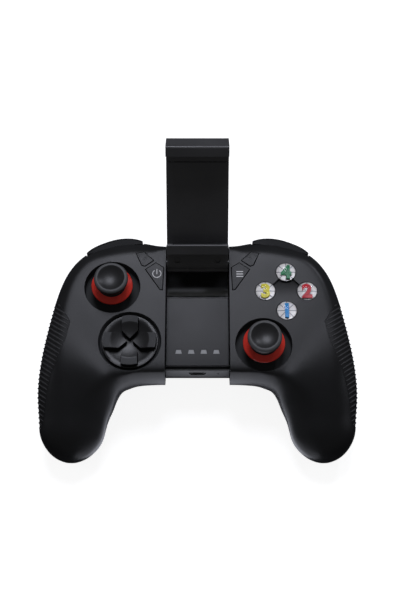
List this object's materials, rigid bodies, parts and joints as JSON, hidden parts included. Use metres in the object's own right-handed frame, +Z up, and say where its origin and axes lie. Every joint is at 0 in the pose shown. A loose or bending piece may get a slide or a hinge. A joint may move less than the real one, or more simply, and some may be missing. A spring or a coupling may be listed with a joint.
{
  "type": "game controller",
  "caption": "Wireless two-handed game controller with thumb sticks, direction keys, triggers and a folding spring clamp for a handset.",
  "frame": {"origin": "middle of the footprint across and along, at the height of the surface it rests on", "axes": "+X to the player's right, +Y away from the player, +Z up"},
  "size_m": [0.1656, 0.1522, 0.0901],
  "materials": {
    "casing_plastic": "fine matte texture, near black",
    "bay_plastic": "satin black",
    "cover_plastic": "fine matte dark grey",
    "bezel_plastic": "matte dark grey",
    "led_lens": "milky window",
    "led": "clear resin",
    "connector_steel": "plated",
    "board_laminate": "green solder mask",
    "battery_wrap": "foil pouch",
    "fastener_steel": "plain",
    "spring_steel": "drawn wire",
    "dpad_plastic": "satin dark grey",
    "membrane_rubber": "silicone",
    "button_green": "clear dome over a green disc",
    "button_red": "clear dome over a red disc",
    "button_blue": "clear dome over a blue disc",
    "button_yellow": "clear dome over a yellow disc",
    "key_plastic": "satin dark grey",
    "ring_red": "satin red",
    "stick_rubber": "soft black",
    "stick_plastic": "black",
    "trigger_plastic": "semi gloss black",
    "grip_rubber": "soft black",
    "clamp_plastic": "fine satin black",
    "pad_rubber": "soft black"
  },
  "bodies": {
    "casing": {"left_upper_casing": "casing_plastic", "right_upper_casing": "casing_plastic", "lower_casing": "casing_plastic", "clamp_bay": "bay_plastic", "centre_cover": "cover_plastic", "front_bezel": "bezel_plastic", "led_windows": "led_lens", "indicator_lights": "led", "usb_port": "connector_steel", "circuit_board": "board_laminate", "battery_pack": "battery_wrap", "case_screws": "fastener_steel", "left_trigger_pin": "fastener_steel", "right_trigger_pin": "fastener_steel", "clamp_hinge_pins": "fastener_steel", "left_trigger_spring": "spring_steel", "right_trigger_spring": "spring_steel", "dpad_plate": "dpad_plastic", "dpad_membrane": "membrane_rubber", "face_button_membrane": "membrane_rubber", "menu_key_membranes": "membrane_rubber", "left_stick_box": "stick_plastic", "left_grip": "grip_rubber", "left_grip_ribs": "grip_rubber", "right_stick_box": "stick_plastic", "right_grip": "grip_rubber", "right_grip_ribs": "grip_rubber"},
    "clamp_arm": {"clamp_arm": "clamp_plastic", "lower_jaw_pad": "pad_rubber", "clamp_springs": "spring_steel"},
    "clamp_slider": {"clamp_slider": "clamp_plastic", "upper_jaw_pad": "pad_rubber"},
    "dpad_up_key": {"dpad_up_key": "dpad_plastic"},
    "dpad_down_key": {"dpad_down_key": "dpad_plastic"},
    "dpad_left_key": {"dpad_left_key": "dpad_plastic"},
    "dpad_right_key": {"dpad_right_key": "dpad_plastic"},
    "face_button_top": {"face_button_top": "button_green"},
    "face_button_right": {"face_button_right": "button_red"},
    "face_button_bottom": {"face_button_bottom": "button_blue"},
    "face_button_left": {"face_button_left": "button_yellow"},
    "power_key": {"power_key": "key_plastic"},
    "select_key": {"select_key": "key_plastic"},
    "menu_key": {"menu_key": "key_plastic"},
    "start_key": {"start_key": "key_plastic"},
    "left_bumper": {"left_bumper": "trigger_plastic"},
    "left_trigger": {"left_trigger": "trigger_plastic"},
    "left_stick_yoke": {"left_stick_yoke": "stick_plastic"},
    "left_stick_rocker": {"left_stick_rocker": "stick_plastic"},
    "left_stick": {"left_stick_stem": "stick_plastic", "left_stick_cap": "stick_rubber", "left_stick_ring": "ring_red"},
    "right_bumper": {"right_bumper": "trigger_plastic"},
    "right_trigger": {"right_trigger": "trigger_plastic"},
    "right_stick_yoke": {"right_stick_yoke": "stick_plastic"},
    "right_stick_rocker": {"right_stick_rocker": "stick_plastic"},
    "right_stick": {"right_stick_stem": "stick_plastic", "right_stick_cap": "stick_rubber", "right_stick_ring": "ring_red"}
  },
  "joints": [
    {"name": "clamp_fold", "type": "hinge", "parent": "casing", "child": "clamp_arm", "pos_m": [0, 0.0271, 0.0335], "axis": [1, 0, 0], "range_deg": [-15, 133.4]},
    {"name": "clamp_slide", "type": "slide", "parent": "clamp_arm", "child": "clamp_slider", "axis": [0, 0.6871, 0.7266], "range_m": [0, 0.032], "stiffness_N_per_m": 120, "springref_m": -0.02},
    {"name": "dpad_up_key_press", "type": "slide", "parent": "casing", "child": "dpad_up_key", "axis": [0, 0, -1], "range_m": [0, 0.0008], "stiffness_N_per_m": 100, "springref_m": -0.004},
    {"name": "dpad_down_key_press", "type": "slide", "parent": "casing", "child": "dpad_down_key", "axis": [0, 0, -1], "range_m": [0, 0.0008], "stiffness_N_per_m": 100, "springref_m": -0.004},
    {"name": "dpad_left_key_press", "type": "slide", "parent": "casing", "child": "dpad_left_key", "axis": [0, 0, -1], "range_m": [0, 0.0008], "stiffness_N_per_m": 100, "springref_m": -0.004},
    {"name": "dpad_right_key_press", "type": "slide", "parent": "casing", "child": "dpad_right_key", "axis": [0, 0, -1], "range_m": [0, 0.0008], "stiffness_N_per_m": 100, "springref_m": -0.004},
    {"name": "face_button_top_press", "type": "slide", "parent": "casing", "child": "face_button_top", "axis": [0, 0, -1], "range_m": [0, 0.001], "stiffness_N_per_m": 100, "springref_m": -0.004},
    {"name": "face_button_right_press", "type": "slide", "parent": "casing", "child": "face_button_right", "axis": [0, 0, -1], "range_m": [0, 0.001], "stiffness_N_per_m": 100, "springref_m": -0.004},
    {"name": "face_button_bottom_press", "type": "slide", "parent": "casing", "child": "face_button_bottom", "axis": [0, 0, -1], "range_m": [0, 0.001], "stiffness_N_per_m": 100, "springref_m": -0.004},
    {"name": "face_button_left_press", "type": "slide", "parent": "casing", "child": "face_button_left", "axis": [0, 0, -1], "range_m": [0, 0.001], "stiffness_N_per_m": 100, "springref_m": -0.004},
    {"name": "power_key_press", "type": "slide", "parent": "casing", "child": "power_key", "axis": [0, 0, -1], "range_m": [0, 0.0006], "stiffness_N_per_m": 100, "springref_m": -0.004},
    {"name": "select_key_press", "type": "slide", "parent": "casing", "child": "select_key", "axis": [0, 0, -1], "range_m": [0, 0.0006], "stiffness_N_per_m": 100, "springref_m": -0.004},
    {"name": "menu_key_press", "type": "slide", "parent": "casing", "child": "menu_key", "axis": [0, 0, -1], "range_m": [0, 0.0006], "stiffness_N_per_m": 100, "springref_m": -0.004},
    {"name": "start_key_press", "type": "slide", "parent": "casing", "child": "start_key", "axis": [0, 0, -1], "range_m": [0, 0.0006], "stiffness_N_per_m": 100, "springref_m": -0.004},
    {"name": "left_bumper_press", "type": "hinge", "parent": "casing", "child": "left_bumper", "pos_m": [-0.0314, 0.0389, 0.0247], "axis": [0, 0, 1], "range_deg": [0, 2], "stiffness_Nm_per_rad": 0.1, "springref_deg": -17.19},
    {"name": "left_trigger_pull", "type": "hinge", "parent": "casing", "child": "left_trigger", "pos_m": [-0.0455, 0.0322, 0.0215], "axis": [-1, 0, 0], "range_deg": [0, 16], "stiffness_Nm_per_rad": 0.05, "springref_deg": -22.92},
    {"name": "left_stick_forward", "type": "hinge", "parent": "casing", "child": "left_stick_yoke", "pos_m": [-0.0446, 0.0107, 0.03], "axis": [1, 0, 0], "range_deg": [-16, 16], "stiffness_Nm_per_rad": 0.02},
    {"name": "left_stick_sideways", "type": "hinge", "parent": "left_stick_yoke", "child": "left_stick_rocker", "pos_m": [-0.0446, 0.0107, 0.03], "axis": [0, 1, 0], "range_deg": [-16, 16], "stiffness_Nm_per_rad": 0.02},
    {"name": "left_stick_click", "type": "slide", "parent": "left_stick_rocker", "child": "left_stick", "axis": [0, 0, -1], "range_m": [0, 0.0008], "stiffness_N_per_m": 100, "springref_m": -0.006},
    {"name": "right_bumper_press", "type": "hinge", "parent": "casing", "child": "right_bumper", "pos_m": [0.0314, 0.0389, 0.0247], "axis": [0, 0, -1], "range_deg": [0, 2], "stiffness_Nm_per_rad": 0.1, "springref_deg": -17.19},
    {"name": "right_trigger_pull", "type": "hinge", "parent": "casing", "child": "right_trigger", "pos_m": [0.0455, 0.0322, 0.0215], "axis": [-1, 0, 0], "range_deg": [0, 16], "stiffness_Nm_per_rad": 0.05, "springref_deg": -22.92},
    {"name": "right_stick_forward", "type": "hinge", "parent": "casing", "child": "right_stick_yoke", "pos_m": [0.034, -0.0216, 0.03], "axis": [1, 0, 0], "range_deg": [-16, 16], "stiffness_Nm_per_rad": 0.02},
    {"name": "right_stick_sideways", "type": "hinge", "parent": "right_stick_yoke", "child": "right_stick_rocker", "pos_m": [0.034, -0.0216, 0.03], "axis": [0, 1, 0], "range_deg": [-16, 16], "stiffness_Nm_per_rad": 0.02},
    {"name": "right_stick_click", "type": "slide", "parent": "right_stick_rocker", "child": "right_stick", "axis": [0, 0, -1], "range_m": [0, 0.0008], "stiffness_N_per_m": 100, "springref_m": -0.006}
  ]
}
